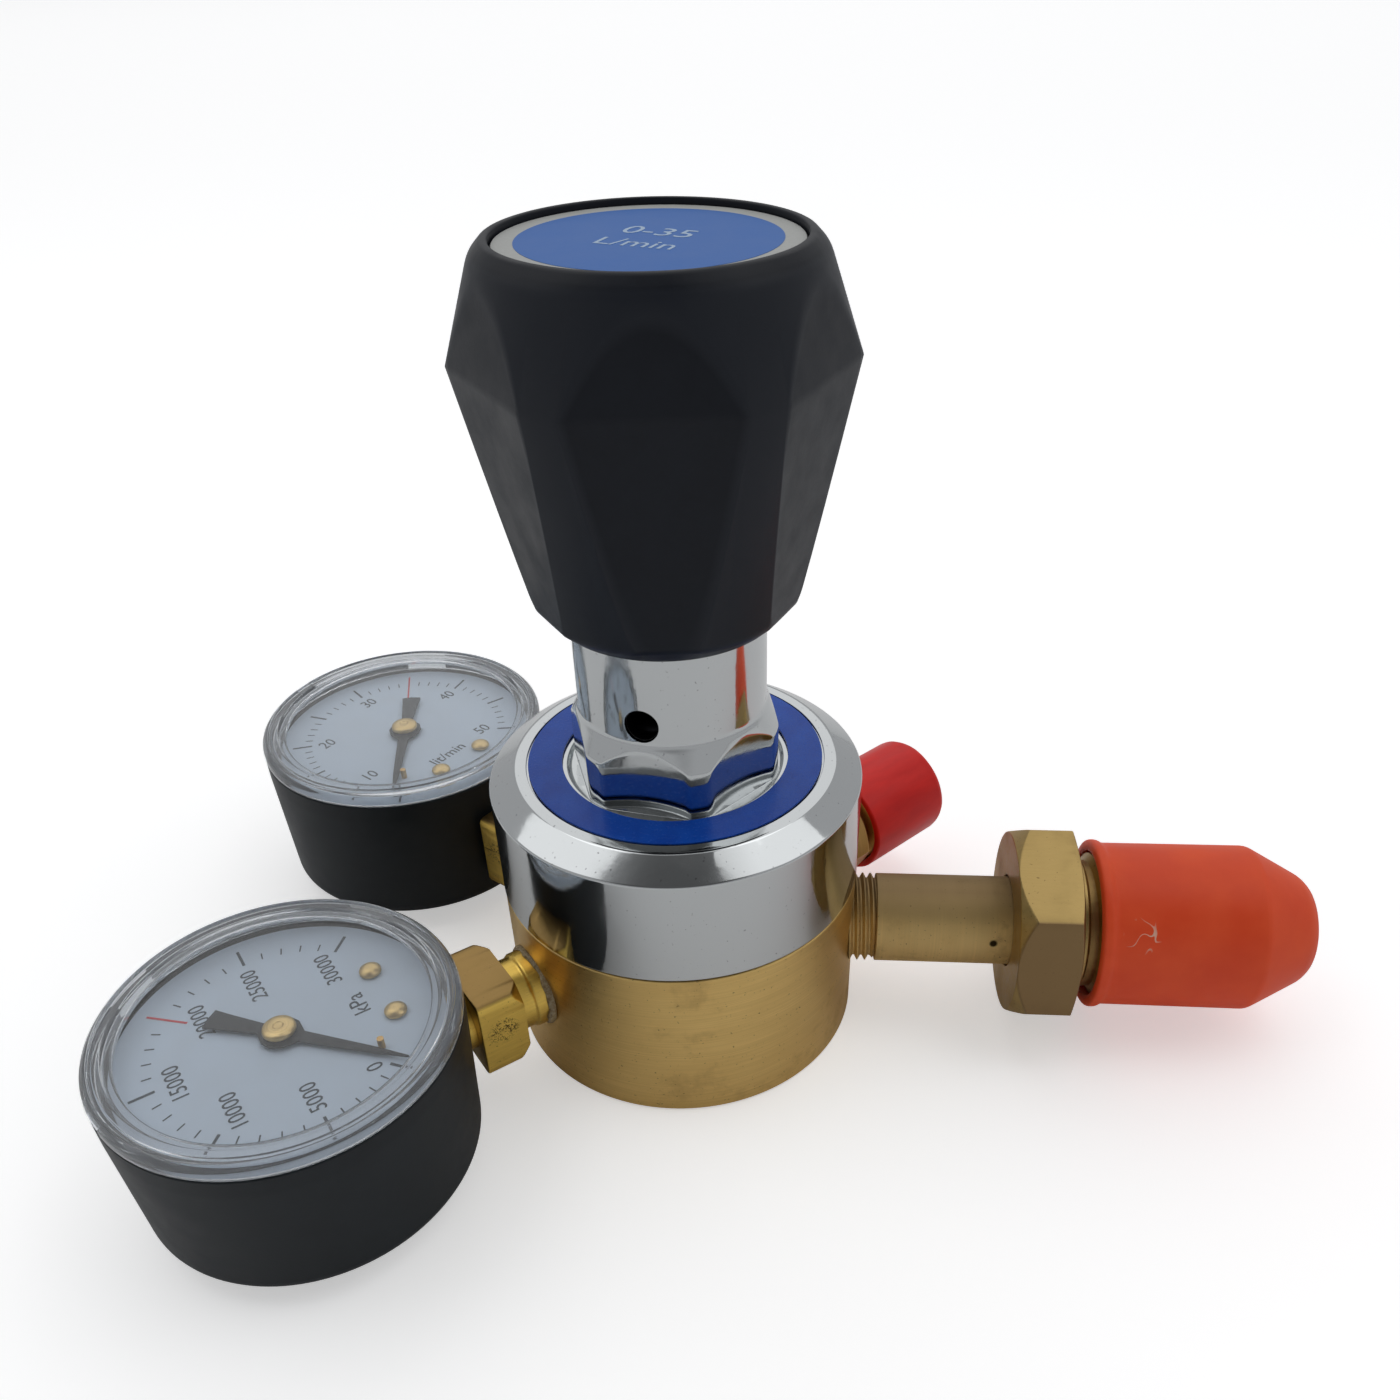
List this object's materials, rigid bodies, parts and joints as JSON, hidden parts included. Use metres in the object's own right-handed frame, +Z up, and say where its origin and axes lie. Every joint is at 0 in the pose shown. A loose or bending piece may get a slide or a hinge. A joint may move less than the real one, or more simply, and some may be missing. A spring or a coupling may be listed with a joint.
{
  "type": "gas pressure regulator with gauges",
  "caption": "Brass gas pressure regulator with chromed bonnet, faceted black knob, side dial gauges, inlet nut on a stem and capped outlet.",
  "frame": {"origin": "on the knob's and body's axis, at the body's flat bottom face", "axes": "+Z up along the knob axis, +X along the inlet stem towards its cap, -Y towards the side seen in the picture"},
  "size_m": [0.1798, 0.1253, 0.1206],
  "materials": {
    "brass": "turned and satin",
    "chrome": "polished plating",
    "steel": "plain",
    "alloy": "plain",
    "knob_plastic": "satin moulded",
    "case_plastic": "satin moulded",
    "pointer_black": "matt black paint",
    "clear_plastic": "clear moulded",
    "dial_white": "satin print",
    "ring_blue": "printed film",
    "disc_blue": "printed film",
    "rubber": "matt",
    "orange_vinyl": "soft dipped vinyl",
    "red_vinyl": "soft dipped vinyl",
    "bronze": "drawn bronze",
    "sintered": "sintered grains"
  },
  "bodies": {
    "regulator": {"body": "brass", "bonnet": "chrome", "bonnet_label": "ring_blue", "diaphragm": "rubber", "slip_ring": "steel", "main_spring": "steel", "seat_nozzle": "brass", "poppet_spring": "steel", "inlet_stem": "brass", "inlet_filter": "sintered", "outlet_fitting": "brass", "supply_case": "case_plastic", "supply_window": "clear_plastic", "supply_dial": "dial_white", "supply_dial_screw_left": "brass", "supply_dial_screw_right": "brass", "supply_stop_pin": "brass", "supply_socket": "brass", "supply_bourdon_tube": "bronze", "supply_movement_back": "brass", "supply_movement_front": "brass", "supply_hairspring": "bronze", "flow_case": "case_plastic", "flow_window": "clear_plastic", "flow_dial": "dial_white", "flow_dial_screw_left": "brass", "flow_dial_screw_right": "brass", "flow_stop_pin": "brass", "flow_socket": "brass", "flow_bourdon_tube": "bronze", "flow_movement_back": "brass", "flow_movement_front": "brass", "flow_hairspring": "bronze"},
    "button": {"spring_button": "steel"},
    "knob": {"adjusting_screw": "steel", "knob": "knob_plastic", "knob_label": "disc_blue", "knob_screw": "steel"},
    "valve": {"diaphragm_plate": "alloy", "diaphragm_washer": "brass", "valve_poppet": "brass"},
    "nut": {"inlet_nut": "brass"},
    "inlet_cap": {"inlet_cap": "orange_vinyl"},
    "outlet_cap": {"outlet_cap": "red_vinyl"},
    "supply_pointer": {"supply_pointer": "pointer_black", "supply_pointer_hub": "brass", "supply_pinion": "brass"},
    "supply_sector": {"supply_sector_gear": "brass"},
    "supply_link": {"supply_link": "brass"},
    "flow_pointer": {"flow_pointer": "pointer_black", "flow_pointer_hub": "brass", "flow_pinion": "brass"},
    "flow_sector": {"flow_sector_gear": "brass"},
    "flow_link": {"flow_link": "brass"}
  },
  "joints": [
    {"name": "knob_turn", "type": "hinge", "parent": "button", "child": "knob", "pos_m": [0, 0, 0.081], "axis": [0, 0, -1], "range_deg": [0, 1900]},
    {"name": "button_slide", "type": "slide", "parent": "regulator", "child": "button", "axis": [0, 0, -1], "range_m": [0, 0.0079], "deforming": ["main_spring"]},
    {"name": "valve_slide", "type": "slide", "parent": "regulator", "child": "valve", "axis": [0, 0, -1], "range_m": [0, 0.00025], "deforming": ["poppet_spring"]},
    {"name": "nut_turn", "type": "hinge", "parent": "regulator", "child": "nut", "pos_m": [0.0493, 0, 0.0168], "axis": [1, 0, 0], "continuous": true},
    {"name": "inlet_cap_pull", "type": "slide", "parent": "nut", "child": "inlet_cap", "axis": [1, 0, 0], "range_m": [0, 0.04]},
    {"name": "outlet_cap_pull", "type": "slide", "parent": "regulator", "child": "outlet_cap", "axis": [0.7071, 0.7071, 0], "range_m": [0, 0.03]},
    {"name": "supply_pointer_turn", "type": "hinge", "parent": "regulator", "child": "supply_pointer", "pos_m": [-0.05144, -0.0399, 0.0273], "axis": [0, 0, -1], "range_deg": [0, 270], "stiffness_Nm_per_rad": 0.00002},
    {"name": "supply_sector_turn", "type": "hinge", "parent": "regulator", "child": "supply_sector", "pos_m": [-0.04592, -0.04701, 0.0223], "axis": [0, 0, 1], "range_deg": [0, 54]},
    {"name": "supply_link_turn", "type": "hinge", "parent": "supply_sector", "child": "supply_link", "pos_m": [-0.04985, -0.04776, 0.0235], "axis": [0, 0, -1], "range_deg": [0, 54]},
    {"name": "flow_pointer_turn", "type": "hinge", "parent": "regulator", "child": "flow_pointer", "pos_m": [-0.0546, 0.03546, 0.0273], "axis": [0, 0, -1], "range_deg": [0, 270], "stiffness_Nm_per_rad": 0.00002},
    {"name": "flow_sector_turn", "type": "hinge", "parent": "regulator", "child": "flow_sector", "pos_m": [-0.0595, 0.02791, 0.0223], "axis": [0, 0, 1], "range_deg": [0, 54]},
    {"name": "flow_link_turn", "type": "hinge", "parent": "flow_sector", "child": "flow_link", "pos_m": [-0.0615, 0.03137, 0.0235], "axis": [0, 0, -1], "range_deg": [0, 54]}
  ],
  "couplings": [
    {"joint": "knob_turn", "follows": "button_slide", "rad_per_m": 4188.8},
    {"joint": "valve_slide", "follows": "button_slide", "ratio": 0.0314},
    {"joint": "supply_sector_turn", "follows": "supply_pointer_turn", "ratio": 0.2},
    {"joint": "supply_link_turn", "follows": "supply_pointer_turn", "ratio": 0.2},
    {"joint": "flow_sector_turn", "follows": "flow_pointer_turn", "ratio": 0.2},
    {"joint": "flow_link_turn", "follows": "flow_pointer_turn", "ratio": 0.2}
  ]
}
